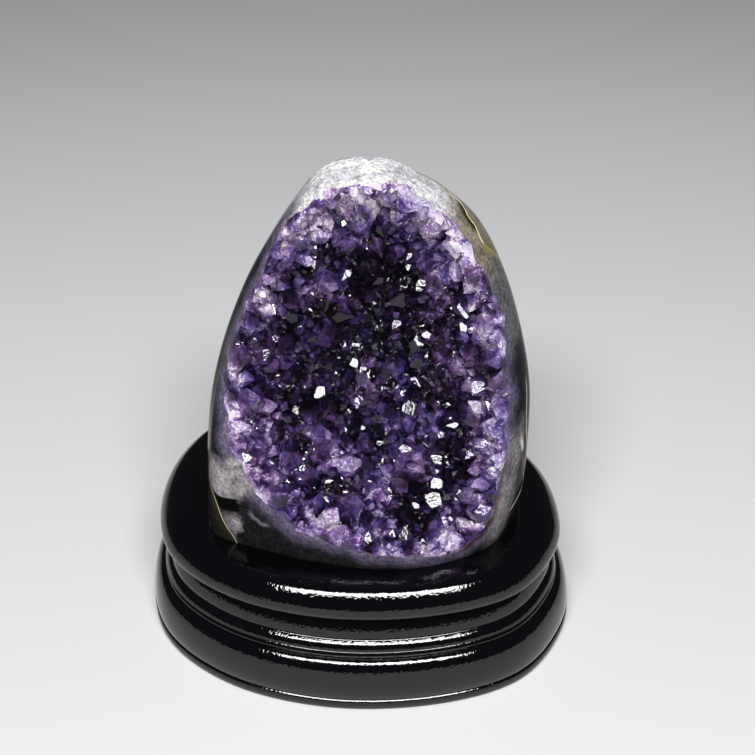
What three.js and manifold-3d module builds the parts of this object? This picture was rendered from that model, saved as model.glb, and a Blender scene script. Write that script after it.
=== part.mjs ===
// A cut amethyst geode standing in a lacquered wooden stand.
// Millimetres, +Z up. The crystals face -Y, and the origin is under the middle of the stand.
import * as THREE from "three";
import { mergeVertices } from "three/addons/utils/BufferGeometryUtils.js";
import Module from "manifold-3d";

const wasm = await Module();
wasm.setup();

// Heights of the stand, and the gap left where two pieces touch.
const PLATE_TOP = 50;
const RECESS_DEPTH = 4;
const TOUCH_GAP = 0.35;

// The edge of the stand's top plate seen from above, anticlockwise from the right.
const PLATE_EDGE = [
  [75, -6], [70, 18], [52, 43], [20, 56], [-20, 57], [-54, 47], [-70, 26],
  [-74, -2], [-66, -28], [-42, -47], [-9, -56], [26, -55], [55, -45.5], [71, -26],
];
const STAND_SIDES = 40;

// The stand's moulding from the floor up: how far out of the plate's edge, and how high.
const MOULDING = [
  [6.6, 0], [7.2, 3], [6.3, 4.6], [6.7, 8.2], [5.4, 15.2], [3.4, 19.2], [0.6, 21],
  [0.6, 24.2], [-1.5, 26.7], [-2, 27.6], [-1.7, 29.4], [-3.3, 33.1], [-7.4, 38.4],
  [-0.6, 39.4], [0.8, 42], [-0.85, 46.4], [-6.8, PLATE_TOP],
];

// The stone's level sections from its foot up: height, left, right, front and back.
const STONE_SECTIONS = [
  [40, -55.4, 57.8, -41.2, 28], [46, -55.3, 58.8, -42.2, 30], [50, -55.2, 59.3, -43.2, 32],
  [62, -54.7, 60.9, -44.6, 36.5], [80, -53.3, 61.3, -43.6, 40], [100, -50.4, 60.6, -40.2, 42],
  [120, -44.8, 56.5, -35.8, 41.5], [140, -36.7, 50.1, -30.4, 38], [156, -28, 42.2, -25.2, 31.5],
  [168.6, -20.1, 31, -20.2, 22.5], [175.6, -14.9, 21.5, -15.3, 15.8],
  [179.9, -9.8, 15.9, -10.6, 10.4], [182.3, -2.6, 10.4, -5.8, 5.2],
];
const STONE_TOP = new THREE.Vector3(3.9, -0.3, 183.1);

// The outline that every section shares, from -1 to 1 across and from front to back.
const SECTION_SHAPE = [
  [-0.99, 0], [-0.985, -0.3], [-0.915, -0.55], [-0.66, -0.72], [-0.373, -0.865], [-0.05, -0.975],
  [0.24, -1], [0.575, -0.87], [0.826, -0.628], [0.97, -0.27], [0.995, 0.12], [0.9, 0.55],
  [0.58, 0.87], [0.08, 1], [-0.45, 0.93], [-0.84, 0.6],
];
const STONE_SIDES = 40;

// The hollow's mouth faces forward and a little up.
const FACE_LEAN = THREE.MathUtils.degToRad(12);
const FACE_FOOT = new THREE.Vector3(0, -32.2, 52.1);

// The mouth's outline, as right and up along its plane, anticlockwise from the right.
const HOLLOW_EDGE = [
  [50.4, 63.5], [49.4, 74], [47.3, 84.5], [43.6, 95], [39.6, 104], [31.5, 115.8], [20.3, 125.5],
  [6.4, 130.4], [-9.1, 127.3], [-20.4, 117.4], [-28.5, 104.5], [-34.3, 92], [-38.9, 81.5],
  [-42.7, 70.9], [-44.2, 62.5], [-44, 55], [-43, 45], [-40.1, 34.3], [-30.1, 18.2],
  [-16.3, 8.6], [4.5, 4], [15, 1.6], [29, 0.6], [39, 3], [44.8, 9.5], [48.1, 19], [49.4, 31],
  [50.3, 45],
];
const HOLLOW_MIDDLE = new THREE.Vector2(4, 68);
const HOLLOW_SIDES = 40;

// The hollow's bowl behind the mouth is deepest above its middle.
const HOLLOW_DEPTH = 27;
const HOLLOW_RISE = 12;
const HOLLOW_STEPS = 4;
const HOLLOW_MOUTH = 24;
const CRUST_THICK = 5;

// How far under the stone's polished surface the crystals at the rim end.
const RIM_INSET = 0.05;

// The crystals that stand on the crust, from just in front of the mouth's plane inwards.
const FIRST_TURN = -0.5;
const CRYSTAL_COUNT = 126;
const CRYSTAL_RADIUS = [6.2, 8.4];
const CRYSTAL_STEM = [-0.5, 1.8];
const TIP_STEEPNESS = 1.15;
const TIP_DRIFT = 0.3;
const CRYSTAL_TILT = 0.3;
const CRYSTAL_ROOT = 0.8;
const ROOT_SPREAD = 1.08;
const CRYSTAL_SIDES = 6;

// How finely the crust is sampled round its mouth and inwards to space the crystals.
const SEATS_AROUND = 360;
const SEAT_SLICES = 60;
const NORMAL_STEP = 0.03;

// The same sequence of numbers from 0 to 1 on every run.
function numberSequence(seed) {
  let state = seed;
  return () => {
    state = (state * 1664525 + 1013904223) % 4294967296;
    return state / 4294967296;
  };
}

// Points along a smooth closed curve through the corners, evenly spaced.
function smoothOutline(corners, count) {
  const knots = corners.map(([x, y]) => new THREE.Vector3(x, y, 0));
  const curve = new THREE.CatmullRomCurve3(knots, true, "centripetal");
  curve.arcLengthDivisions = 600;
  return curve.getSpacedPoints(count).slice(0, count).map((p) => new THREE.Vector2(p.x, p.y));
}

// The outline moved along its own outward normals.
function offsetOutline(outline, distance) {
  return outline.map((point, i) => {
    const before = outline[(i + outline.length - 1) % outline.length];
    const after = outline[(i + 1) % outline.length];
    const along = after.clone().sub(before).normalize();
    return new THREE.Vector2(point.x + along.y * distance, point.y - along.x * distance);
  });
}

// A closed skin over rings of equally many points, with a fan of triangles at each end.
function loft(rings, firstEnd, lastEnd) {
  const count = rings[0].length;
  const points = rings.flat().concat([firstEnd, lastEnd]);
  const index = [];
  const first = points.length - 2;
  const last = points.length - 1;
  const lastRing = (rings.length - 1) * count;
  for (let i = 0; i < count; i++) {
    const next = (i + 1) % count;
    index.push(first, next, i);
    index.push(last, lastRing + i, lastRing + next);
    for (let r = 0; r < lastRing; r += count) {
      index.push(r + i, r + next, r + count + i);
      index.push(r + next, r + count + next, r + count + i);
    }
  }
  return new THREE.BufferGeometry().setFromPoints(points).setIndex(index);
}

function toSolid(geometry) {
  const bare = geometry.clone();
  bare.deleteAttribute("normal");
  bare.deleteAttribute("uv");
  const merged = mergeVertices(bare, 1e-4);
  return new wasm.Manifold(
    new wasm.Mesh({
      numProp: 3,
      vertProperties: merged.attributes.position.array,
      triVerts: new Uint32Array(merged.index.array),
    }),
  );
}

function toMesh(solid, name, material) {
  const { numProp, vertProperties, triVerts } = solid.getMesh();
  const stored = new THREE.InterleavedBuffer(vertProperties, numProp);
  const geometry = new THREE.BufferGeometry();
  geometry.setAttribute("position", new THREE.InterleavedBufferAttribute(stored, 3, 0));
  geometry.setIndex(new THREE.BufferAttribute(triVerts, 1));
  const mesh = new THREE.Mesh(geometry.toNonIndexed(), material);
  mesh.geometry.computeVertexNormals();
  mesh.name = name;
  return mesh;
}

// From the mouth's own axes, right, up and out of the hollow, to the part's frame.
const faceMatrix = new THREE.Matrix4()
  .makeBasis(
    new THREE.Vector3(1, 0, 0),
    new THREE.Vector3(0, Math.sin(FACE_LEAN), Math.cos(FACE_LEAN)),
    new THREE.Vector3(0, -Math.cos(FACE_LEAN), Math.sin(FACE_LEAN)),
  )
  .setPosition(FACE_FOOT);

// The stone before it is hollowed, with a flat foot.
function stoneBody(outset, footHeight) {
  const shape = smoothOutline(SECTION_SHAPE, STONE_SIDES);
  const rings = STONE_SECTIONS.map(([height, left, right, front, back]) =>
    shape.map((point) => {
      const across = (left + right) / 2 + ((right - left) / 2 + outset) * point.x;
      const along = (front + back) / 2 + ((back - front) / 2 + outset) * point.y;
      return new THREE.Vector3(across, along, height);
    }),
  );
  const foot = new THREE.Vector3(0, 0, STONE_SECTIONS[0][0]);
  const top = STONE_TOP.clone().setZ(STONE_TOP.z + outset);
  return toSolid(loft(rings, foot, top)).subtract(blockBelow(footHeight));
}

function blockBelow(height) {
  const size = 400;
  return toSolid(new THREE.BoxGeometry(size, size, size).translate(0, 0, height - size / 2));
}

// A point of the hollow's wall. A turn below 0 is in front of the mouth's plane, and a
// quarter turn is the deepest point. Inset is how far inside the wall the surface lies.
function hollowPoint(edgePoint, turn, inset) {
  if (turn < 0) return new THREE.Vector3(edgePoint.x, edgePoint.y, -turn * HOLLOW_DEPTH);
  const share = Math.cos(turn);
  const deep = Math.sin(turn);
  const middle = HOLLOW_MIDDLE.clone();
  middle.y += HOLLOW_RISE * deep;
  const flat = edgePoint.clone().sub(middle).multiplyScalar(share).add(middle);
  return new THREE.Vector3(flat.x, flat.y, -(HOLLOW_DEPTH - inset) * deep);
}

function hollowBowl(inset) {
  const outline = offsetOutline(smoothOutline(HOLLOW_EDGE, HOLLOW_SIDES), -inset);
  const rings = [outline.map((point) => new THREE.Vector3(point.x, point.y, HOLLOW_MOUTH))];
  for (let step = 0; step < HOLLOW_STEPS; step++) {
    const turn = (step / HOLLOW_STEPS) * (Math.PI / 2);
    rings.push(outline.map((point) => hollowPoint(point, turn, inset)));
  }
  const mouth = new THREE.Vector3(HOLLOW_MIDDLE.x, HOLLOW_MIDDLE.y, HOLLOW_MOUTH);
  const deepest = hollowPoint(HOLLOW_MIDDLE, Math.PI / 2, inset);
  return toSolid(loft(rings.reverse(), deepest, mouth).applyMatrix4(faceMatrix));
}

// A six-sided crystal along +Z from the origin, with its tip a little off centre.
function crystalShape(radius, stem, drift) {
  const ring = (size, height) =>
    Array.from({ length: CRYSTAL_SIDES }, (_, side) => {
      const turn = (side / CRYSTAL_SIDES) * Math.PI * 2;
      return new THREE.Vector3(size * Math.cos(turn), size * Math.sin(turn), height);
    });
  const rings = [ring(radius * ROOT_SPREAD, -CRYSTAL_ROOT), ring(radius, stem)];
  const tip = new THREE.Vector3(drift.x, drift.y, stem + radius * TIP_STEEPNESS);
  return loft(rings, new THREE.Vector3(0, 0, -CRYSTAL_ROOT), tip);
}

// Where the crystals stand: a spiral over the crust, evenly spaced along its surface.
function crystalSeats(count) {
  const outline = smoothOutline(HOLLOW_EDGE, SEATS_AROUND);
  const edge = offsetOutline(outline, -CRUST_THICK);
  const turnAt = (share) => FIRST_TURN + share * (Math.PI / 2 - FIRST_TURN);
  const meridian = [];
  for (let k = 0; k <= SEAT_SLICES; k++) {
    meridian.push(hollowPoint(edge[0], turnAt(k / SEAT_SLICES), CRUST_THICK));
  }
  const area = [0];
  for (let k = 1; k <= SEAT_SLICES; k++) {
    const width = Math.abs(meridian[k].x - HOLLOW_MIDDLE.x);
    area.push(area[k - 1] + width * meridian[k].distanceTo(meridian[k - 1]));
  }
  const goldenTurn = (3 - Math.sqrt(5)) / 2;
  const seats = [];
  for (let i = 0; i < count; i++) {
    const wanted = ((i + 0.5) / count) * area[SEAT_SLICES];
    const k = area.findIndex((sum) => sum >= wanted);
    const within = (wanted - area[k - 1]) / (area[k] - area[k - 1]);
    const around = Math.floor(((i * goldenTurn) % 1) * edge.length);
    seats.push({ edge, around, turn: turnAt((k - 1 + within) / SEAT_SLICES) });
  }
  return seats;
}

// The inward direction of the crust's surface at a seat.
function seatNormal({ edge, around, turn }) {
  const there = (a, t) => hollowPoint(edge[(around + a + edge.length) % edge.length], t, CRUST_THICK);
  const sideways = there(2, turn).sub(there(-2, turn));
  const deeper = Math.min(turn + NORMAL_STEP, Math.PI / 2);
  const inwards = there(0, deeper).sub(there(0, turn - NORMAL_STEP));
  return sideways.cross(inwards).normalize();
}

function crystalSolids() {
  const random = numberSequence(20);
  const between = ([low, high]) => low + (high - low) * random();
  const upright = new THREE.Vector3(0, 0, 1);
  return crystalSeats(CRYSTAL_COUNT).map((seat) => {
    const place = hollowPoint(seat.edge[seat.around], seat.turn, CRUST_THICK);
    const direction = seatNormal(seat);
    const lean = new THREE.Vector3(random() - 0.5, random() - 0.5, random() - 0.5);
    direction.addScaledVector(lean, 2 * CRYSTAL_TILT).normalize();
    const radius = between(CRYSTAL_RADIUS);
    const drift = new THREE.Vector2(random() - 0.5, random() - 0.5);
    drift.multiplyScalar(2 * TIP_DRIFT * radius);
    const shape = crystalShape(radius, between(CRYSTAL_STEM), drift).rotateZ(random() * Math.PI);
    const turned = new THREE.Quaternion().setFromUnitVectors(upright, direction);
    shape.applyQuaternion(turned).translate(place.x, place.y, place.z);
    return toSolid(shape.applyMatrix4(faceMatrix));
  });
}

// The largest body alone, without loose chips or the pockets sealed under crystals.
function mainBody(solid) {
  return solid.decompose().reduce((most, body) => (body.volume() > most.volume() ? body : most));
}

function geodeShell() {
  const body = stoneBody(0, PLATE_TOP - RECESS_DEPTH + TOUCH_GAP);
  return body.subtract(hollowBowl(0));
}

// The crust lines the hollow, and its edge is polished flush with the rim.
function crystalCrust() {
  const lining = hollowBowl(TOUCH_GAP).subtract(hollowBowl(CRUST_THICK));
  const grown = wasm.Manifold.union([lining, ...crystalSolids()]);
  return mainBody(grown.intersect(hollowBowl(TOUCH_GAP)).intersect(stoneBody(-RIM_INSET, 0)));
}

function woodenStand() {
  const traced = smoothOutline(PLATE_EDGE, STAND_SIDES);
  const centre = new THREE.Box2().setFromPoints(traced).getCenter(new THREE.Vector2());
  const outline = traced.map((point) => point.sub(centre));
  const rings = MOULDING.map(([out, height]) =>
    offsetOutline(outline, out).map((p) => new THREE.Vector3(p.x, p.y, height)),
  );
  const block = loft(rings, new THREE.Vector3(0, 0, 0), new THREE.Vector3(0, 0, PLATE_TOP));
  return toSolid(block).subtract(stoneBody(TOUCH_GAP, PLATE_TOP - RECESS_DEPTH));
}

const lacquer = new THREE.MeshStandardMaterial({ color: 0x0b0a0c, roughness: 0.12 });
const agate = new THREE.MeshStandardMaterial({ color: 0x5c5c58, roughness: 0.2 });
const amethyst = new THREE.MeshStandardMaterial({ color: 0x5b3a94, roughness: 0.08, flatShading: true });

const geode = new THREE.Group();
geode.add(toMesh(woodenStand(), "wooden_stand", lacquer));
geode.add(toMesh(geodeShell(), "geode_shell", agate));
geode.add(toMesh(crystalCrust(), "amethyst_crystals", amethyst));

export default geode;
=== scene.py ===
# Amethyst geode on a lacquered wooden stand. Metres, +Z up, the crystals face -Y.
import bpy
import bmesh
import math
import random
import time
from mathutils import Matrix, Vector, noise
from mathutils.bvhtree import BVHTree
from mathutils.kdtree import KDTree


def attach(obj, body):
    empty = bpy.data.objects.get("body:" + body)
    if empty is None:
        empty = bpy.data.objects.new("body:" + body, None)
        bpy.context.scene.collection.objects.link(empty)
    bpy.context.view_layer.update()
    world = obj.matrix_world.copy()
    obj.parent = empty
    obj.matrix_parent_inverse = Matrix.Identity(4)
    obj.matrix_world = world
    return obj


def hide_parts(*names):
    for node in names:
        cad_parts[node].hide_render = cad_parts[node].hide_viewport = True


startTime = time.time()
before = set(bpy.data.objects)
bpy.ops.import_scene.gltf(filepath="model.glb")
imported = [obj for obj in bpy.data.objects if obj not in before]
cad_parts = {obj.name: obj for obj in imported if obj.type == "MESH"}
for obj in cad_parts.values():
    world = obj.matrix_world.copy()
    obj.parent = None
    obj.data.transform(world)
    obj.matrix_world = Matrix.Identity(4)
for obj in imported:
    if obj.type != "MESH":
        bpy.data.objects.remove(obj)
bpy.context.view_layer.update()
mm = 0.001


def report(stage):
    print("%5.1f s  %s" % (time.time() - startTime, stage))


# Small helpers that every piece uses.

def linearColour(hexText):  # sRGB hex to the linear values that shaders take, with alpha if it has 8 digits
    parts = [int(hexText[i:i + 2], 16) / 255 for i in range(0, len(hexText), 2)]
    linear = [p / 12.92 if p <= 0.04045 else ((p + 0.055) / 1.055) ** 2.4 for p in parts[:3]]
    return linear + (parts[3:] or [1.0])


def splinePoints(knots, steps, closed=False):  # a smooth line through rows of any length
    rows = [tuple(row) for row in knots]
    if closed:
        ext = [rows[-1]] + rows + rows[:2]
    else:
        first = tuple(2 * a - b for a, b in zip(rows[0], rows[1]))
        last = tuple(2 * a - b for a, b in zip(rows[-1], rows[-2]))
        ext = [first] + rows + [last]
    made = []
    for k in range(len(ext) - 3):
        for s in range(steps):
            u = s / steps
            made.append(tuple(
                0.5 * (2 * b + (c - a) * u + (2 * a - 5 * b + 4 * c - d) * u * u
                       + (3 * b - a - 3 * c + d) * u ** 3)
                for a, b, c, d in zip(*ext[k:k + 4])))
    return made if closed else made + [rows[-1]]


def evenOutline(knots, count):  # a smooth closed outline of evenly spaced points
    fine = splinePoints(knots, 60, closed=True)
    lengths = [0.0]
    for a, b in zip(fine, fine[1:] + fine[:1]):
        lengths.append(lengths[-1] + math.dist(a, b))
    made, k = [], 0
    for i in range(count):
        want = lengths[-1] * i / count
        while lengths[k + 1] < want:
            k += 1
        u = (want - lengths[k]) / (lengths[k + 1] - lengths[k])
        a, b = fine[k], fine[(k + 1) % len(fine)]
        made.append((a[0] + (b[0] - a[0]) * u, a[1] + (b[1] - a[1]) * u))
    return made


def movedOut(outline, distance):  # the outline moved along its own normals
    made = []
    for i, (x, y) in enumerate(outline):
        before, after = outline[i - 1], outline[(i + 1) % len(outline)]
        dx, dy = after[0] - before[0], after[1] - before[1]
        size = math.hypot(dx, dy)
        made.append((x + dy / size * distance, y - dx / size * distance))
    return made


def loftBmesh(rings, firstPole, lastPole):  # a circle extruded from ring to ring
    bm = bmesh.new()
    around = bm.verts.layers.int.new("around")
    for i, vert in enumerate(bmesh.ops.create_circle(bm, segments=len(rings[0]), radius=1)["verts"]):
        vert[around] = i
        vert.co = rings[0][i]
    firstEdges = loopEdges = list(bm.edges)
    for ring in rings[1:]:
        made = bmesh.ops.extrude_edge_only(bm, edges=loopEdges)["geom"]
        loop = {g for g in made if isinstance(g, bmesh.types.BMVert)}
        for vert in loop:
            vert.co = ring[vert[around]]
        loopEdges = [g for g in made if isinstance(g, bmesh.types.BMEdge) and set(g.verts) <= loop]
    for edges, pole in ((firstEdges, firstPole), (loopEdges, lastPole)):
        cap = bmesh.ops.contextual_create(bm, geom=edges)["faces"]
        bmesh.ops.poke(bm, faces=cap)["verts"][0].co = pole
    bmesh.ops.recalc_face_normals(bm, faces=bm.faces)
    return bm


def addPiece(name, bm, *materials):
    mesh = bpy.data.meshes.new(name)
    bm.to_mesh(mesh)
    bm.free()
    piece = bpy.data.objects.new(name, mesh)
    bpy.context.scene.collection.objects.link(piece)
    for material in materials:
        mesh.materials.append(material)
    return piece


def carve(piece, tool, how):  # a boolean, applied at once
    step = piece.modifiers.new("carve", "BOOLEAN")
    step.operation = how
    step.solver = "MANIFOLD"
    step.object = tool
    graph = bpy.context.evaluated_depsgraph_get()
    carved = bpy.data.meshes.new_from_object(piece.evaluated_get(graph))
    piece.modifiers.clear()
    old, piece.data = piece.data, carved
    bpy.data.meshes.remove(old)
    bpy.data.meshes.remove(tool.data)


def nearestTree(points):
    found = KDTree(len(points))
    for i, point in enumerate(points):
        found.insert(point, i)
    found.balance()
    return found


def addNode(tree, kind, inputs=None, stops=None, **settings):  # a node with its settings and links
    node = tree.nodes.new("ShaderNode" + kind)
    for name, value in settings.items():
        setattr(node, name, value)
    for place, (position, colour) in enumerate(stops or []):
        elements = node.color_ramp.elements
        stop = elements[place] if place < 2 else elements.new(position)
        stop.position, stop.color = position, linearColour(colour)
    for name, value in (inputs or {}).items():
        if isinstance(value, bpy.types.NodeSocket):
            tree.links.new(value, node.inputs[name])
        else:
            node.inputs[name].default_value = value
    return node


def newMaterial(name, **values):  # values set the shader's own sockets, which stay unlinked
    material = bpy.data.materials.new(name)
    material.use_nodes = True
    shader = material.node_tree.nodes["Principled BSDF"]
    for socket, value in values.items():
        shader.inputs[socket.replace("_", " ")].default_value = value
    return material, material.node_tree, shader


# The stone: level sections in mm from its foot up, as height, left, right, front and back.
stone = {
    "sections": [
        (40, -55.4, 57.8, -41.2, 28), (46, -55.3, 58.8, -42.2, 30), (50, -55.2, 59.3, -43.2, 32),
        (62, -54.7, 60.9, -44.6, 36.5), (80, -53.3, 61.3, -43.6, 40), (100, -50.4, 60.6, -40.2, 42),
        (120, -44.8, 56.5, -35.8, 41.5), (140, -36.7, 50.1, -30.4, 38), (156, -28, 42.2, -25.2, 31.5),
        (168.6, -20.1, 31, -20.2, 22.5), (175.6, -14.9, 21.5, -15.3, 15.8),
        (179.9, -9.8, 15.9, -10.6, 10.4), (182.1, -4, 11.2, -6.5, 5.9), (182.85, 0.3, 7.4, -3.4, 2.8)],
    "top": (3.9, -0.3, 183.1),
    "shape": [  # each section's outline, -1 to 1 from left to right and from front to back
        (-0.99, 0), (-0.985, -0.3), (-0.915, -0.55), (-0.66, -0.72), (-0.373, -0.865), (-0.05, -0.975),
        (0.24, -1), (0.575, -0.87), (0.826, -0.628), (0.97, -0.27), (0.995, 0.12), (0.9, 0.55),
        (0.58, 0.87), (0.08, 1), (-0.45, 0.93), (-0.84, 0.6)],
    "around": 300,
    "stepsUp": 11,
    "footHeight": 46.35,  # of the flat cut underneath
}

# The hollow: its mouth's outline on a plane that leans back, and the bowl behind it.
hollow = {
    "lean": 12,  # degrees from upright
    "foot": (0, -32.2, 52.1),
    "edge": [
        (50.4, 63.5), (49.4, 74), (47.3, 84.5), (43.6, 95), (39.6, 104), (31.5, 115.8), (20.3, 125.5),
        (6.4, 130.4), (-9.1, 127.3), (-20.4, 117.4), (-28.5, 104.5), (-34.3, 92), (-38.9, 81.5),
        (-42.7, 70.9), (-44.2, 62.5), (-44, 55), (-43, 45), (-40.1, 34.3), (-30.1, 18.2), (-16.3, 8.6),
        (4.5, 4), (15, 1.6), (29, 0.6), (39, 3), (44.8, 9.5), (48.1, 19), (49.4, 31), (50.3, 45)],
    "ragged": 1.5,  # how far the crystals' edge wanders on the polished stone, in mm
    "wavesPerMm": (0.11, 0.31),  # of that wander, broad and fine
    "middle": (4, 68),
    "depth": 34,
    "rise": 12,  # how far above the middle the deepest place lies
    "mouth": 24,  # how far the cut runs on in front of the mouth's plane
    "around": 260,
    "stepsIn": 40,
    "stepsOut": 6,
    "bumpsFullAt": 12,  # the depth at which the crystal bed's mounds have their full height
    "recesses": [((11, 86), 20, 1.0), ((-22, 56), 9, 0.5)],  # where, how wide and how strong
}

lean = math.radians(hollow["lean"])
mouthFrame = Matrix((
    (1, 0, 0, hollow["foot"][0]),
    (0, math.sin(lean), -math.cos(lean), hollow["foot"][1]),
    (0, math.cos(lean), math.sin(lean), hollow["foot"][2]),
    (0, 0, 0, 1)))
mouthToScene = Matrix.Scale(mm, 4) @ mouthFrame


def stoneBody(name, outset, footHeight):
    shape = evenOutline(stone["shape"], stone["around"])
    rings = []
    for height, left, right, front, back in splinePoints(stone["sections"], stone["stepsUp"]):
        halfX, halfY = (right - left) / 2 + outset, (back - front) / 2 + outset
        midX, midY = (left + right) / 2, (front + back) / 2
        rings.append([Vector((midX + halfX * x, midY + halfY * y, height)) * mm for x, y in shape])
    top = Vector(stone["top"]) + Vector((0, 0, outset))
    bm = loftBmesh(rings, Vector((0, 0, rings[0][0].z)), top * mm)
    cut = bmesh.ops.bisect_plane(
        bm, geom=bm.verts[:] + bm.edges[:] + bm.faces[:], plane_co=(0, 0, footHeight * mm),
        plane_no=(0, 0, -1), clear_outer=True)["geom_cut"]
    bmesh.ops.contextual_create(bm, geom=[g for g in cut if isinstance(g, bmesh.types.BMEdge)])
    bmesh.ops.triangulate(bm, faces=bm.faces)
    bmesh.ops.recalc_face_normals(bm, faces=bm.faces)
    return addPiece(name, bm)


def spotsAt(spots, x, y):  # how much of the round soft spots lies on a place of the mouth's plane
    return min(1.0, sum(
        strong * math.exp(-((x - place[0]) ** 2 + (y - place[1]) ** 2) / wide ** 2)
        for place, wide, strong in spots))


def swell(place):  # mounds below 0 and dips above it, in the mouth's own mm
    return noise.noise(place * 0.05) * 1.3 + 0.6 * noise.noise(place * 0.13 + Vector((7, 3, 5)))


def hollowBowl(name, inset, bumpy=0.0, longer=0.0, deeper=0.0):  # the open space, or the crust's inside
    outline = []
    broad, fine = hollow["wavesPerMm"]
    for x, y in movedOut(evenOutline(hollow["edge"], hollow["around"]), -inset):
        wander = noise.noise(Vector((x, y, 0)) * broad) + 0.8 * noise.noise(Vector((x, y, 9)) * fine)
        out = Vector((x - hollow["middle"][0], y - hollow["middle"][1])).normalized()
        outline.append((x + out.x * wander * hollow["ragged"], y + out.y * wander * hollow["ragged"]))
    midX, midY = hollow["middle"]
    mouth, depth = hollow["mouth"] + longer, hollow["depth"] - inset - deeper
    stepsOut = hollow["stepsOut"]
    rings = [[Vector((x, y, mouth * (1 - s / stepsOut))) for x, y in outline] for s in range(stepsOut)]
    for s in range(hollow["stepsIn"]):
        turn = s / hollow["stepsIn"] * math.pi / 2
        share, deep = math.cos(turn), math.sin(turn)
        centre = midY + hollow["rise"] * deep
        rings.append([Vector((midX + (x - midX) * share, centre + (y - centre) * share, -depth * deep))
                      for x, y in outline])
    bm = loftBmesh(rings, Vector((midX, midY, mouth)), Vector((midX, midY + hollow["rise"], -depth)))
    if bumpy:
        bm.normal_update()
        moves = []
        for vert in bm.verts:
            out = swell(vert.co) - 0.5 + spotsAt(hollow["recesses"], vert.co.x, vert.co.y)
            moves.append((vert, vert.normal * out * bumpy))
        for vert, move in moves:
            if vert.co.z < mouth - 0.1:  # the cap over the mouth stays flat
                vert.co += move * (0.2 + 0.8 * min(1, max(0, -vert.co.z / hollow["bumpsFullAt"])))
    bmesh.ops.transform(bm, matrix=mouthToScene, verts=bm.verts)
    # Extruding orders faces differently each time. Sorted, the same seed always picks the same ones.
    bmesh.ops.triangulate(bm, faces=bm.faces)
    orders = ((bm.verts, lambda v: tuple(v.co)), (bm.faces, lambda f: tuple(f.calc_center_median())))
    for parts, placeOf in orders:
        rank = {part: i for i, part in enumerate(sorted(parts, key=placeOf))}
        parts.sort(key=rank.get)
    return addPiece(name, bm)


report("frame loaded")

geodeShell = stoneBody("geodeShell", 0, stone["footHeight"])
polishedFace = BVHTree.FromObject(geodeShell, bpy.context.evaluated_depsgraph_get())
carve(geodeShell, hollowBowl("hollowTool", 0), "DIFFERENCE")
report("stone hollowed, %d faces" % len(geodeShell.data.polygons))

# The crystals: the bed they stand on, and how many of each size in mm.
crystals = {
    "seed": 3,
    "bedThick": 0.7,  # at its sides
    "bedThicker": 5.5,  # how much more at the deepest place
    "bedBumps": 4.2,  # how high its mounds are
    "bedLonger": 1.0,  # how much further out than the hollow its cut runs
    "intoStone": 0.3,  # how far the crust reaches into the stone
    "underPolish": 0.02,  # how far it ends under the polished surface
    "kinds": 30,  # differently cut crystals to pick from
    "sizes": [  # radius from and to, tries, and how close neighbours may stand
        (3.6, 5.2, 148, 0.8), (2.5, 3.6, 570, 0.74), (1.6, 2.4, 2260, 0.7), (0.8, 1.4, 6700, 0.62)],
    "stem": (-0.1, 1.1),  # how far each is moved out along its axis, in radii
    "faceLean": 51.8,  # degrees between a tip face's normal and the crystal's axis, as on quartz
    "bigFaces": (0.0, 0.2),  # how far out every second tip face lies, in radii
    "smallFaces": (0.1, 0.6),  # and the faces between them, which this makes smaller
    "flatness": (0.75, 1.15),  # how thick a crystal is for its width
    "tilt": 0.34,  # how much their axes stray from the bed's own normals
    # painted light: spots where the crystals are painted paler, as if more light fell on them
    "paintedLight": [  # where, how wide and how strong
        ((4, 126), 18, 0.42), ((33, 101), 18, 0.28), ((21, 110), 10, 0.2), ((-30, 96), 14, 0.15),
        ((-36, 34), 13, 0.2)],
    # painted shade: the deep recess under the top lip is painted darker
    "paintedShade": [((7, 84), 17, 0.42), ((-12, 62), 12, 0.3)],
    "paleness": 0.23,
    "ownSpread": 0.55,  # how much neighbours differ
    "clouds": 0.45,  # how much broad areas differ
    "rimReach": 14.5,  # how far the pale crystals at the rim reach in
    "calmReach": 8.0,  # how far in from the rim neighbours differ less
}
random.seed(crystals["seed"])


def crystalKind():  # a six-sided stem of radius 1 cut to an uneven six-faced tip
    bm = bmesh.new()
    bmesh.ops.create_cone(bm, cap_ends=True, segments=6, radius1=1.0, radius2=1.0, depth=4)
    steep = math.radians(crystals["faceLean"])
    toFlat = 0.866  # from a hexagon's middle to its flats
    for k in range(6):
        turn = math.radians(60 * k + 30)
        away = random.uniform(*crystals["bigFaces" if k % 2 else "smallFaces"])
        facing = Vector((math.sin(steep) * math.cos(turn), math.sin(steep) * math.sin(turn), math.cos(steep)))
        cut = bmesh.ops.bisect_plane(
            bm, geom=bm.verts[:] + bm.edges[:] + bm.faces[:], dist=1e-5,
            plane_co=facing * (math.sin(steep) * toFlat + away * math.cos(steep)), plane_no=facing,
            clear_outer=True)["geom_cut"]
        edges = [g for g in cut if isinstance(g, bmesh.types.BMEdge)]
        if edges:
            bmesh.ops.contextual_create(bm, geom=edges)
    bmesh.ops.scale(bm, vec=(1, random.uniform(*crystals["flatness"]), 1), verts=bm.verts)
    bmesh.ops.recalc_face_normals(bm, faces=bm.faces)
    mesh = bpy.data.meshes.new("crystalKind")
    bm.to_mesh(mesh)
    bm.free()
    return mesh


def insideStone(point):  # whether it lies under the stone's surface as it was before the hollow
    place, normal = polishedFace.find_nearest(point)[:2]
    return normal.dot(point - place) < 0


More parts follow.
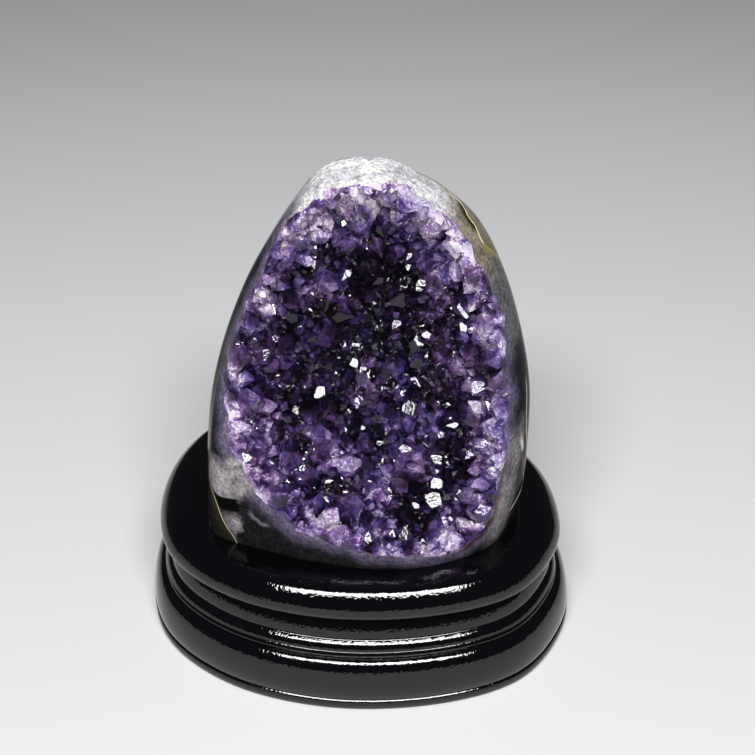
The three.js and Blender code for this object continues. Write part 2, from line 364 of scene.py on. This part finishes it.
def crystalSeats(bed):  # seats on the bed inside the stone, big crystals first and smaller ones in the gaps
    faces = [f for f in bed.data.polygons if insideStone(f.center)]
    weights = [f.area for f in faces]
    cell = 10 * mm  # more than the biggest crystals keep between their seats
    grid, seats = {}, []
    for low, high, tries, close in crystals["sizes"]:
        for face in random.choices(faces, weights, k=tries):
            a, b, c = (bed.data.vertices[i].co for i in sorted(face.vertices))
            u, v = sorted((random.random(), random.random()))
            place = a * u + b * (v - u) + c * (1 - v)
            radius = random.uniform(low, high) * mm
            key = tuple(int(n // cell) for n in place)
            near = [s for dx in (-1, 0, 1) for dy in (-1, 0, 1) for dz in (-1, 0, 1)
                    for s in grid.get((key[0] + dx, key[1] + dy, key[2] + dz), ())]
            if all((place - other[0]).length > close * (radius + other[2]) for other in near):
                seat = (place, -face.normal, radius)
                seats.append(seat)
                grid.setdefault(key, []).append(seat)
    return seats


def crystalGroups(seats):  # seats in groups whose crystals don't touch each other
    reach = 2.1  # about how far a crystal reaches from its seat, in radii
    groups = []
    for seat in seats:
        for group in groups:
            if all((seat[0] - other[0]).length > reach * (seat[2] + other[2]) for other in group):
                group.append(seat)
                break
        else:
            groups.append([seat])
    return groups


def keepLargestPart(piece):  # what the trimming cuts loose would float in the mouth
    bm = bmesh.new()
    bm.from_mesh(piece.data)
    parts, seen = [], set()
    for vert in bm.verts:
        if vert not in seen:
            seen.add(vert)
            part, waiting = [], [vert]
            while waiting:
                part.append(waiting.pop())
                for edge in part[-1].link_edges:
                    other = edge.other_vert(part[-1])
                    if other not in seen:
                        seen.add(other)
                        waiting.append(other)
            parts.append(part)
    parts.sort(key=len)
    bmesh.ops.delete(bm, geom=[vert for part in parts[:-1] for vert in part], context="VERTS")
    bm.to_mesh(piece.data)
    bm.free()
    return len(parts) - 1


bed = hollowBowl(
    "crystalBed", crystals["bedThick"], crystals["bedBumps"], crystals["bedLonger"], crystals["bedThicker"])
amethystCrystals = hollowBowl("amethystCrystals", -crystals["intoStone"])
seats = crystalSeats(bed)
groups = crystalGroups(seats)
report("%d crystals seated in %d groups" % (len(seats), len(groups)))
carve(amethystCrystals, bed, "DIFFERENCE")
kinds = [crystalKind() for _ in range(crystals["kinds"])]
for group in groups:
    bm = bmesh.new()
    for place, up, radius in group:
        known = len(bm.verts)
        bm.from_mesh(random.choice(kinds))
        bm.verts.ensure_lookup_table()
        axis = (up + Vector([random.gauss(0, crystals["tilt"]) for _ in range(3)])).normalized()
        turned = axis.to_track_quat("Z", "Y").to_matrix().to_4x4()
        spin = Matrix.Rotation(random.uniform(0, math.tau), 4, "Z")
        stem = Matrix.Translation((0, 0, random.uniform(*crystals["stem"])))
        matrix = Matrix.Translation(place) @ turned @ Matrix.Scale(radius, 4) @ spin @ stem
        bmesh.ops.transform(bm, matrix=matrix, verts=bm.verts[known:])
    carve(amethystCrystals, addPiece("crystalGroup", bm), "UNION")
report("crystals joined, %d faces" % len(amethystCrystals.data.polygons))
carve(amethystCrystals, hollowBowl("crustLimit", -crystals["intoStone"]), "INTERSECT")
carve(amethystCrystals, stoneBody("trim", -crystals["underPolish"], stone["footHeight"]), "INTERSECT")
looseBits = keepLargestPart(amethystCrystals)
report("crystals trimmed, %d loose bits removed, %d faces" % (looseBits, len(amethystCrystals.data.polygons)))

# The stand: the plate's outline, and the moulding as distance out from it and height, in mm.
stand = {
    "edge": [
        (75, -6), (70, 18), (52, 43), (20, 56), (-20, 57), (-54, 47), (-70, 26), (-74, -2), (-66, -28),
        (-42, -47), (-9, -56), (26, -55), (55, -45.5), (71, -26)],
    "around": 200,
    "moulding": [
        (6.4, 0), (7.1, 1.2), (7.2, 3), (6.8, 4.3), (6.2, 4.8), (6.6, 5.6), (6.7, 8.2), (6.3, 11.5),
        (5.4, 15.2), (4.4, 17.7), (3.4, 19.2), (2.2, 20.2), (0.9, 20.7), (0.4, 21), (0.8, 21.3), (1.1, 21.8),
        (0.9, 22.4), (0.4, 23), (0.1, 23.3), (0.65, 23.7), (0.6, 24.2), (0.15, 25.2), (-0.6, 26.1),
        (-1.5, 26.7), (-2.2, 27.2), (-1.6, 28.1), (-1.7, 29.4), (-2.3, 31.1), (-3.3, 33.1), (-4.8, 35.2),
        (-6.4, 36.8), (-7.4, 38.2), (-4.5, 38.9), (-1.2, 39.3), (0.45, 40.2), (0.83, 42), (0.42, 44.04),
        (-0.85, 46.38), (-2.66, 48.29), (-4.3, 49.37), (-6.8, 50)],
    "stepsUp": 4,
    "gap": 0.35,  # between the stone and the recess that it sits in
    "recessFloor": 46,
}


def standBody():
    outline = evenOutline(stand["edge"], stand["around"])
    midX, midY = [(min(c) + max(c)) / 2 for c in zip(*outline)]
    outline = [(x - midX, y - midY) for x, y in outline]
    rings = []
    for out, height in splinePoints(stand["moulding"], stand["stepsUp"]):
        rings.append([Vector((x, y, height)) * mm for x, y in movedOut(outline, out)])
    bm = loftBmesh(rings, Vector((0, 0, 0)), Vector((0, 0, rings[-1][0].z)))
    piece = addPiece("woodenStand", bm)
    carve(piece, stoneBody("recessTool", stand["gap"], stand["recessFloor"]), "DIFFERENCE")
    return piece


woodenStand = standBody()
report("stand made, %d faces" % len(woodenStand.data.polygons))

# Black lacquer: many thin polished coats on wood, with the faint orange peel that breaks up highlights.
blackLacquer, tree, shader = newMaterial("blackLacquer", Roughness=0.03, IOR=1.5)
shader.inputs["Base Color"].default_value = linearColour("020203")
coords = addNode(tree, "TexCoord").outputs["Object"]
peel = addNode(tree, "TexNoise", {"Vector": coords, "Scale": 1 / (1.1 * mm), "Detail": 1.5})
bump = addNode(tree, "Bump", {"Height": peel.outputs["Fac"], "Strength": 1.0, "Distance": 0.08 * mm})
tree.links.new(bump.outputs["Normal"], shader.inputs["Normal"])

# What is drawn on the stone. Patches: soft areas of one colour each, by their middle and half width round
# the mouth (0 left, 0.25 below, 0.5 right, 0.75 above) and how far they reach from the rim in mm. Lines:
# colours by distance to a line, below 0 towards the rim, from and to in mm, how far the line wanders, and
# the line's points in mm.
agate = {
    "rind": "1e1e20",  # dark basalt, on the sides and all round the back
    "edge": "605870",  # violet grey quartz next to the crystals
    "edgeReach": 8,
    "centre": (4, 118),  # across and up in mm, what "round the mouth" turns about
    "wobbleSize": 14,  # how long the waves of the patches' borders are, in mm
    "wobbleBy": 6.0,  # from a border's innermost place to its outermost, in mm
    "patches": [
        ("c8c8cc", 0.735, 0.09, 20),  # milky quartz over the top
        ("807868", 0.63, 0.045, 28),  # sandy agate round the vein
        ("606064", 0.56, 0.05, 24),  # grey quartz on the right
        ("787478", 0.385, 0.05, 13),  # grey quartz low on the right
        ("888488", 0.112, 0.02, 24),  # the pale patch low on the left
    ],
    "lines": [
        ("patchEdge", [(0.16, "08080900"), (0.32, "080809"), (0.488, "080809"), (0.5, "5d5c5a80"),
                       (0.512, "9f9e9a00")], -14, 14, 1.0,
         [(-52.7, -17.3, 72.7), (-51.5, -22.4, 71.5), (-49.9, -25.1, 70.2), (-47.7, -27.1, 69.2),
          (-43.9, -29.1, 70), (-40.9, -30.2, 71)]),
        ("creamLine", [(0.478, "15141500"), (0.488, "c9c29f"), (0.5, "c9c29f"), (0.511, "2b2820"),
                       (0.8, "1f1d18"), (1, "1f1d1800")], -8, 8, 0.7,
         [(-51.3, -8.7, 95.5), (-51.9, -11.5, 90), (-52.4, -13, 83), (-52.6, -15, 78.3), (-52.7, -17.5, 73.5),
          (-52.2, -21, 71), (-50.8, -24.1, 69), (-49.5, -26.2, 65.5), (-48.3, -27.6, 61.1),
          (-46.4, -28.8, 56.4), (-43.8, -29.8, 51.5), (-42, -30.5, 46)]),
        ("wisp", [(0.42, "87858c00"), (0.49, "87858c90"), (0.58, "6a687000")], -9, 9, 4.0,
         [(-37.6, -31.9, 67), (-35.6, -32.9, 64.1), (-32.8, -34.1, 62.4), (-30, -35.2, 62.6)]),
        ("veinShadow", [(0.1, "3a322600"), (0.28, "3a3226"), (0.46, "1c160c"), (0.5, "3a301800")], -6, 6, 1.6,
         [(33.3, 7.7, 165.9), (35.1, 5, 164.4), (36.2, 1.4, 163.4), (38.2, 0.3, 161.1), (39.4, -2.4, 159)]),
        ("vein", [(0.46, "5a4a2000"), (0.475, "e6deb4"), (0.52, "e6deb4"), (0.54, "6b5f3cd0"),
                  (0.66, "7b716690"), (1, "6b655d00")], -8, 8, 1.1,
         [(27.4, 9.6, 170.6), (29.4, 10.4, 168.8), (31.3, 8.6, 167.6), (33.3, 7.7, 165.9), (35.1, 5, 164.4),
          (36.2, 1.4, 163.4), (38.2, 0.3, 161.1), (40, -3.4, 158.1), (42.1, -3.2, 155.1), (45.3, 0.8, 150.6),
          (46.9, 2.4, 147.4)]),
        ("veinTop", [(0.3, "77755f00"), (0.4, "77755f"), (0.48, "ece4bd"), (0.6, "ece4bd"),
                     (0.7, "ece4bd00")], -3, 3, 1.4,
         [(31.3, 8.6, 167.6), (33.3, 7.7, 165.9), (34.4, 6.3, 165)]),
        ("veinTail", [(0.15, "8a804c00"), (0.35, "8a804ce0"), (0.6, "6c6236e0"), (0.8, "6c623600")],
         -4, 4, 3.0,
         [(41, -3.4, 156.6), (42.1, -3.2, 155.1), (45.3, 0.8, 150.6), (46.5, 2.1, 148)]),
        ("brownLine", [(0.25, "4a342c00"), (0.45, "4a342ca8"), (0.55, "4a342ca8"), (0.8, "4a342c00")],
         -3, 3, 2.4,
         [(51.5, -26.7, 88.7), (49.7, -29.6, 81.4), (48.6, -31.3, 74.8), (47.6, -32.5, 66.6),
          (45.6, -34.1, 63.4)]),
        ("brownStreak", [(0.2, "3a2a2000"), (0.35, "3a2a20f0"), (0.6, "3a2a20f0"), (0.8, "3a2a2000")],
         -5, 5, 2.4,
         [(46.6, -33.5, 65.2), (45.6, -34.1, 63.4), (42.9, -35.7, 59.2), (40.1, -37.2, 57.7),
          (35.3, -38.8, 53.6)]),
        ("brownSpot", [(0.15, "3a2a1600"), (0.3, "3a2a16"), (0.5, "5e4a2c"), (0.68, "46341c"),
                       (0.85, "3a2a1600")], -4, 4, 1.5,
         [(57.4, -18.6, 79.5), (58.6, -16.3, 76), (58.2, -17.6, 73)]),
        # painted highlight: a thin light line along the right silhouette
        ("rightEdgeHighlight", [(0.1, "a9a89f00"), (0.3, "a9a89f"), (0.7, "a9a89f"), (0.9, "a9a89f00")], -1.2, 1.2, 1.2,
         [(55.5, -8, 108), (57.4, -11, 101), (58.6, -13.3, 94.7), (59.1, -13.4, 87.6), (59.9, -12, 82),
          (60.4, -10.5, 76), (60.2, -11.5, 71), (59.6, -13, 67)]),
        # painted highlight: a thin cream line along the left silhouette
        ("leftEdgeHighlight", [(0.1, "b7b08e00"), (0.3, "b7b08e"), (0.7, "b7b08e"), (0.9, "b7b08e00")], -1, 1, 0.6,
         [(-49.9, -5.5, 101.5), (-51.3, -8.7, 95.5), (-51.9, -11.5, 90), (-52.4, -13, 83), (-52.6, -15, 78.3),
          (-52.6, -17, 74.5)]),
        ("whiteWedge", [(0.2, "cfcdc400"), (0.38, "cfcdc4"), (0.6, "cfcdc4"), (0.75, "cfcdc400")], -3, 3, 1.4,
         [(56.2, -19.6, 90), (57.4, -17.9, 85.1), (57.7, -17.8, 81.8)]),
        ("whiteLine", [(0.45, "d6d4cc00"), (0.47, "d6d4cc"), (0.52, "d6d4cc"), (0.54, "0b0b0bb0"),
                       (0.7, "0b0b0b00")], -5, 5, 1.4,
         [(58.6, -15.7, 71.8), (59.4, -13.6, 66.4), (59.1, -15.1, 63), (57.6, -19.2, 62.4),
          (55.1, -23.9, 61.5), (53.6, -26, 61.1)]),
    ],
}

# Polished agate: milky quartz over the crystals, grey at the right, and dark rind on the rest. It is glossy,
# but its reflections are kept very weak, because the pale floor would draw bright bands along both sides; the
# thin light lines along both silhouettes are painted highlights.
polishedAgate, tree, shader = newMaterial("polishedAgate", Roughness=0.1, IOR=1.54, Specular_IOR_Level=0.004)
coords = addNode(tree, "TexCoord").outputs["Object"]
rim = addNode(tree, "Attribute", attribute_name="rim").outputs["Fac"]
wobble = addNode(tree, "TexNoise", {
    "Vector": coords, "Scale": 1 / (agate["wobbleSize"] * mm), "Detail": 4.0}).outputs["Fac"]
wobbled = addNode(tree, "Math", {
    0: wobble, 1: agate["wobbleBy"], 2: rim}, operation="MULTIPLY_ADD").outputs[0]
wobbleMean = agate["wobbleBy"] / 2  # what the wobble adds to the distance from the rim on average
parts = addNode(tree, "SeparateXYZ", {0: coords}).outputs
centreX, centreZ = [value * mm for value in agate["centre"]]
acrossX = addNode(tree, "Math", {0: parts["X"], 1: centreX}, operation="SUBTRACT").outputs[0]
upZ = addNode(tree, "Math", {0: parts["Z"], 1: centreZ}, operation="SUBTRACT").outputs[0]
angle = addNode(tree, "Math", {0: upZ, 1: acrossX}, operation="ARCTAN2").outputs[0]
evenAngle = addNode(tree, "MapRange", {"Value": angle, "From Min": -math.pi, "From Max": math.pi}).outputs[0]
astray = addNode(tree, "MapRange", {  # the patches' borders wander more, the further they run from the rim
    "Value": wobble, "From Min": 0.3, "From Max": 0.7, "To Min": -0.0016, "To Max": 0.0016}).outputs[0]
angleAt = addNode(tree, "Math", {0: astray, 1: rim, 2: evenAngle}, operation="MULTIPLY_ADD").outputs[0]
byRim = addNode(tree, "MapRange", {
    "Value": wobbled, "From Min": wobbleMean, "From Max": agate["edgeReach"] + wobbleMean,
    "To Min": 1.0, "To Max": 0.0}, interpolation_type="SMOOTHSTEP").outputs[0]
colour = addNode(tree, "Mix", {
    0: byRim, 6: linearColour(agate["rind"]), 7: linearColour(agate["edge"])}, data_type="RGBA").outputs[2]
full, gone = 0.6, 1.2  # a patch is full up to this share of its size and gone from this share on
for tone, middle, halfWidth, reach in agate["patches"]:
    beside = addNode(tree, "Math", {0: angleAt, 1: middle}, operation="SUBTRACT").outputs[0]
    aside = addNode(tree, "Math", {0: beside}, operation="ABSOLUTE").outputs[0]
    mask = 1.0
    for value, size, added in ((aside, halfWidth, 0.0), (wobbled, reach, wobbleMean)):
        fade = addNode(tree, "MapRange", {
            "Value": value, "From Min": full * size + added, "From Max": gone * size + added,
            "To Min": 1.0, "To Max": 0.0}, interpolation_type="SMOOTHSTEP").outputs[0]
        mask = addNode(tree, "Math", {0: mask, 1: fade}, operation="MULTIPLY").outputs[0]
    colour = addNode(tree, "Mix", {0: mask, 6: colour, 7: linearColour(tone)}, data_type="RGBA").outputs[2]

# Crystalline grain: fibres that run out from the rim, layers that run with it, and clear and milky specks.
arc = addNode(tree, "Math", {0: angle, 1: 60.0}, operation="MULTIPLY").outputs[0]
along = addNode(tree, "Math", {0: rim, 1: 0.22}, operation="MULTIPLY").outputs[0]
fibreAt = addNode(tree, "CombineXYZ", {"X": arc, "Y": along}).outputs[0]
fibres = addNode(tree, "TexNoise", {"Vector": fibreAt, "Scale": 0.5, "Detail": 4.0, "Roughness": 0.65})
shortArc = addNode(tree, "Math", {0: angle, 1: 12.0}, operation="MULTIPLY").outputs[0]
layerAt = addNode(tree, "CombineXYZ", {"X": shortArc, "Y": wobbled}).outputs[0]
layers = addNode(tree, "TexNoise", {"Vector": layerAt, "Scale": 0.45, "Detail": 3.0, "Roughness": 0.7})
grains = addNode(tree, "TexNoise", {
    "Vector": coords, "Scale": 1 / (1.1 * mm), "Detail": 3.0, "Roughness": 0.75})
clouds = addNode(tree, "TexNoise", {"Vector": coords, "Scale": 1 / (5 * mm), "Detail": 4.0, "Roughness": 0.6})
for texture, low, high in (
        (fibres, 0.85, 1.15), (layers, 0.7, 1.3), (grains, 0.35, 1.6), (clouds, 0.65, 1.3)):
    light = addNode(tree, "MapRange", {
        "Value": texture.outputs["Fac"], "From Min": 0.3, "From Max": 0.7, "To Min": low, "To Max": high})
    colour = addNode(tree, "Mix", {0: 1.0, 6: colour, 7: light.outputs[0]}, data_type="RGBA",
                     blend_type="MULTIPLY").outputs[2]
tint = addNode(tree, "ValToRGB", {0: layers.outputs["Fac"]}, stops=[(0.36, "f7f8ff"), (0.64, "fffcf1")])
colour = addNode(tree, "Mix", {0: 1.0, 6: colour, 7: tint.outputs["Color"]}, data_type="RGBA",
                 blend_type="MULTIPLY").outputs[2]
wander = addNode(tree, "TexNoise", {"Vector": coords, "Scale": 1 / (4 * mm), "Detail": 5.0}).outputs["Fac"]
for name, stops, low, high, ragged, line in agate["lines"]:
    distances = addNode(tree, "Attribute", attribute_name=name).outputs["Vector"]
    sided, away, fromEnd = addNode(tree, "SeparateXYZ", {0: distances}).outputs
    moved = addNode(tree, "Math", {0: wander, 1: ragged, 2: sided}, operation="MULTIPLY_ADD").outputs[0]
    lineAt = addNode(tree, "MapRange", {
        "Value": moved, "From Min": low + ragged / 2, "From Max": high + ragged / 2}).outputs[0]
    ramp = addNode(tree, "ValToRGB", {0: lineAt}, stops=stops).outputs
    # Past a line's ends its two sides meet. There the two distances disagree, and nothing is drawn.
    size = addNode(tree, "Math", {0: sided}, operation="ABSOLUTE").outputs[0]
    excess = addNode(tree, "Math", {0: away, 1: size}, operation="SUBTRACT").outputs[0]
    real = addNode(tree, "MapRange", {
        "Value": excess, "From Min": 0.8, "From Max": 1.6, "To Min": 1.0, "To Max": 0.0}).outputs[0]
    tapered = addNode(tree, "Math", {0: real, 1: fromEnd}, operation="MULTIPLY").outputs[0]
    alpha = addNode(tree, "Math", {0: ramp["Alpha"], 1: tapered}, operation="MULTIPLY").outputs[0]
    colour = addNode(tree, "Mix", {0: alpha, 6: colour, 7: ramp["Color"]}, data_type="RGBA").outputs[2]
tree.links.new(colour, shader.inputs["Base Color"])

# Quartz bed: the inside of the hollow, seen through the crystals. Pale at the rim and dark violet deep
# inside:
# partly its own violet, partly painted shade of the deep hollow.
quartzBed, tree, shader = newMaterial("quartzBed", Roughness=0.6)
depthIn = addNode(tree, "Attribute", attribute_name="rim").outputs["Fac"]
bedAt = addNode(tree, "MapRange", {"Value": depthIn, "From Min": 0.0, "From Max": 40.0}).outputs[0]
bedColourAndShade = addNode(tree, "ValToRGB", {0: bedAt}, stops=[
    (0, "d8cae0"), (0.08, "b39fca"), (0.35, "7d649c"), (1, "3c2f52")]).outputs["Color"]
tree.links.new(bedColourAndShade, shader.inputs["Base Color"])

# Amethyst: violet quartz, a little more than half clear. Each crystal has a shade of its own, each facet a
# painted lighter or darker shade for the light it catches, with veils and specks in it, and light that passes
# through the depth of a crystal turns violet too.
amethyst, tree, shader = newMaterial(
    "amethyst", Roughness=0.035, IOR=1.544, Specular_IOR_Level=0.23, Transmission_Weight=0.6)
coords = addNode(tree, "TexCoord").outputs["Object"]
shade = addNode(tree, "Attribute", attribute_name="shade").outputs["Fac"]
paintedFacetLight = addNode(tree, "Attribute", attribute_name="paintedFacetLight").outputs["Fac"]
veils = addNode(tree, "TexNoise", {
    "Vector": coords, "Scale": 1 / (1.8 * mm), "Detail": 4.0, "Roughness": 0.7}).outputs["Fac"]
shaded = addNode(tree, "Math", {0: paintedFacetLight, 1: 0.2, 2: shade}, operation="MULTIPLY_ADD").outputs[0]
veiled = addNode(tree, "Math", {0: veils, 1: 0.9, 2: shaded}, operation="MULTIPLY_ADD").outputs[0]
sugar = addNode(tree, "TexNoise", {"Vector": coords, "Scale": 1 / (0.9 * mm), "Detail": 2.0}).outputs["Fac"]
speck = addNode(tree, "MapRange", {"Value": sugar, "From Min": 0.54, "From Max": 0.66}).outputs[0]
where = addNode(tree, "MapRange", {
    "Value": shade, "From Min": 0.5, "From Max": 0.95, "To Min": 0.0, "To Max": 0.6}).outputs[0]
speckled = addNode(tree, "Math", {0: speck, 1: where, 2: veiled}, operation="MULTIPLY_ADD").outputs[0]
shadeAt = addNode(tree, "MapRange", {"Value": speckled, "From Min": 0.5, "From Max": 1.6}).outputs[0]
violet = addNode(tree, "ValToRGB", {0: shadeAt}, stops=[
    (0, "110e15"), (0.2, "2d233d"), (0.45, "604b7e"), (0.68, "a68fbc"), (1, "f5f0f5")]).outputs["Color"]
drift = addNode(tree, "TexNoise", {"Vector": coords, "Scale": 1 / (11 * mm), "Detail": 1.0}).outputs["Fac"]
hue = addNode(tree, "ValToRGB", {0: drift}, stops=[(0.38, "dfe2ff"), (0.62, "ffe3ea")]).outputs["Color"]
hueful = addNode(tree, "MapRange", {  # the palest crystals keep to white
    "Value": shadeAt, "From Min": 0.3, "From Max": 0.75, "To Min": 1.0, "To Max": 0.3}).outputs[0]
hued = addNode(tree, "Mix", {0: hueful, 6: violet, 7: hue}, data_type="RGBA",
               blend_type="MULTIPLY").outputs[2]
tree.links.new(hued, shader.inputs["Base Color"])
ripple = addNode(tree, "TexNoise", {"Vector": coords, "Scale": 1 / (1.1 * mm), "Detail": 2.0})
bump = addNode(tree, "Bump", {"Height": ripple.outputs["Fac"], "Strength": 1.0, "Distance": 0.045 * mm})
tree.links.new(bump.outputs["Normal"], shader.inputs["Normal"])
inside = addNode(tree, "VolumeAbsorption", {"Color": linearColour("c093dc"), "Density": 110.0})
tree.links.new(inside.outputs["Volume"], tree.nodes["Material Output"].inputs["Volume"])

for piece, finishes in ((woodenStand, [blackLacquer]), (geodeShell, [polishedAgate, quartzBed]),
                        (amethystCrystals, [amethyst])):
    piece.data.materials.clear()
    for finish in finishes:
        piece.data.materials.append(finish)


def markHollow():  # tells the polished outside from the hollow, and writes each corner's distance to the rim
    mesh = geodeShell.data
    hollowSide, outSide = set(), set()
    touching, sameWay = 0.05 * mm, 0.8
    for face in mesh.polygons:
        place, normal, index, away = polishedFace.find_nearest(face.center)
        face.material_index = 0 if away < touching and normal.dot(face.normal) > sameWay else 1
        (hollowSide if face.material_index else outSide).update(face.vertices)
    rimTree = nearestTree([mesh.vertices[i].co for i in hollowSide & outSide])
    distance = mesh.attributes.new("rim", "FLOAT", "POINT")
    for vert in mesh.vertices:
        distance.data[vert.index].value = rimTree.find(vert.co)[2] / mm
    return rimTree


def markLines():  # writes each corner's distance in mm to each line, with and without its side, and the taper
    mesh = geodeShell.data
    taper = 10  # points over which a line fades out at both ends
    rims = [item.value for item in mesh.attributes["rim"].data]
    for name, stops, low, high, ragged, knots in agate["lines"]:
        line = [polishedFace.find_nearest(Vector(point) * mm)[0] for point in splinePoints(knots, 20)]
        lineTree = nearestTree(line)
        lineRims = [rimTree.find(point)[2] / mm for point in line]
        distances = mesh.attributes.new(name, "FLOAT_VECTOR", "POINT")
        for vert in mesh.vertices:
            place, index, away = lineTree.find(vert.co)
            if name == "patchEdge":  # it runs out from the rim, so its sides are below and above it
                sign = 1 if vert.co.z > place.z else -1
            else:
                sign = 1 if rims[vert.index] > lineRims[index] else -1
            fromEnd = min(1.0, min(index, len(line) - 1 - index) / taper)
            distances.data[vert.index].vector = (sign * away / mm, away / mm, fromEnd)


# Besides each crystal's own tone, this writes painted light and shade: per facet, and in spots over the
# hollow.
def shadeCrystals():  # how pale each crystal and each of its facets is, 0 the darkest and 1 the palest
    mesh = amethystCrystals.data
    seatTree = nearestTree([seat[0] + seat[1] * seat[2] for seat in seats])
    own = [random.random() for _ in seats]
    toMouth = mouthToScene.inverted()
    shade = mesh.attributes.new("shade", "FLOAT", "POINT")
    for vert in mesh.vertices:
        fromRim = rimTree.find(vert.co)[2] / mm
        local = toMouth @ vert.co
        calm = 1 - 0.5 * math.exp(-(fromRim / crystals["calmReach"]) ** 2)
        spread = crystals["ownSpread"] * calm * (own[seatTree.find(vert.co)[1]] - 0.5)
        share = crystals["paleness"] + spread + crystals["clouds"] * noise.noise(local * 0.07)
        pale = math.exp(-(fromRim / crystals["rimReach"]) ** 1.5) * (0.42 + 0.7 * noise.noise(local * 0.2))
        # the spots add painted light and painted shade to each crystal's own tone
        share += pale * (0.75 + 0.25 * min(1, fromRim / 4)) + spotsAt(crystals["paintedLight"], local.x, local.y)
        share -= spotsAt(crystals["paintedShade"], local.x, local.y)
        shade.data[vert.index].value = min(1.0, max(0.0, share))
    # painted light and shade: each facet a little lighter or darker, for the light it refracts and reflects
    paintedFacetLight = mesh.attributes.new("paintedFacetLight", "FLOAT", "FACE")
    for face in mesh.polygons:
        seat = seatTree.find(face.center)[1]
        turned = face.normal * 3.3
        paintedFacetLight.data[face.index].value = noise.cell(Vector((seat * 1.37 + turned.x, turned.y, turned.z)) * 1.01)


rimTree = markHollow()
markLines()
shadeCrystals()
report("colours written")

for piece, sharp in ((woodenStand, 40), (geodeShell, 30), (amethystCrystals, 8)):
    piece.data.shade_smooth()
    piece.data.set_sharp_from_angle(angle=math.radians(sharp))

for piece, node in ((woodenStand, "wooden_stand"), (geodeShell, "geode_shell"),
                    (amethystCrystals, "amethyst_crystals")):
    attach(piece, "root")
    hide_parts(node)

# The room: a wide pale floor that runs under everything, soft lamps and a dim grey sky.
room = {
    "floor": "dededf",
    "sky": "8f939c",
    "skyLight": 0.2,
    "lamps": [  # place in m, size x and y in m, watts, and the one piece that it lights, or None for all
        ((0.0, -0.76, 1.1), 1.1, 0.26, 25, None),
        ((0.0, -0.64, 1.19), 1.1, 0.28, 26, woodenStand),
        ((-0.25, -1.0, 0.95), 0.27, 0.16, 5.4, amethystCrystals),
        ((0.6, -0.85, 0.8), 0.27, 0.16, 5.4, amethystCrystals),
        ((0.1, -1.3, 0.5), 0.27, 0.18, 6.6, amethystCrystals),
        ((-0.6, -1.0, 0.35), 0.22, 0.16, 4.2, amethystCrystals),
        ((0.45, -1.15, 0.3), 0.22, 0.16, 4.2, amethystCrystals),
        ((0.0, 1.4, 1.0), 0.8, 0.8, 12, geodeShell),
    ],
    "aimedAt": (0, 0, 0.1),
}
bm = bmesh.new()
bmesh.ops.create_grid(bm, x_segments=1, y_segments=1, size=4)
floorPaint, tree, shader = newMaterial("paleFloor", Roughness=0.7)
shader.inputs["Base Color"].default_value = linearColour(room["floor"])
floor = addPiece("floor", bm, floorPaint)

world = bpy.data.worlds.new("room")
bpy.context.scene.world = world
world.use_nodes = True
world.node_tree.nodes["Background"].inputs["Color"].default_value = linearColour(room["sky"])
world.node_tree.nodes["Background"].inputs["Strength"].default_value = room["skyLight"]

for place, sizeX, sizeY, watts, lit in room["lamps"]:
    data = bpy.data.lights.new("lamp", "AREA")
    data.shape, data.size, data.size_y, data.energy = "RECTANGLE", sizeX, sizeY, watts
    lamp = bpy.data.objects.new("lamp", data)
    bpy.context.scene.collection.objects.link(lamp)
    lamp.location = place
    lamp.rotation_euler = (Vector(room["aimedAt"]) - Vector(place)).to_track_quat("-Z", "Y").to_euler()
    if lit:
        lamp.light_linking.receiver_collection = bpy.data.collections.new("litBy " + lamp.name)
        lamp.light_linking.receiver_collection.objects.link(lit)

# The photo's view: its place in m, its tilt in degrees up from straight down, and its lens in mm.
view = {"place": (0.0071, -0.3166, 0.3308), "tilt": 54, "lens": 53.03}
cameraData = bpy.data.cameras.new("camera")
cameraData.lens = view["lens"]
camera = bpy.data.objects.new("camera", cameraData)
camera.location = view["place"]
camera.rotation_euler = (math.radians(view["tilt"]), 0, 0)
bpy.context.scene.collection.objects.link(camera)
bpy.context.scene.camera = camera
bpy.context.scene.view_settings.view_transform = "Standard"

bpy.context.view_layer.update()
report("scene ready")
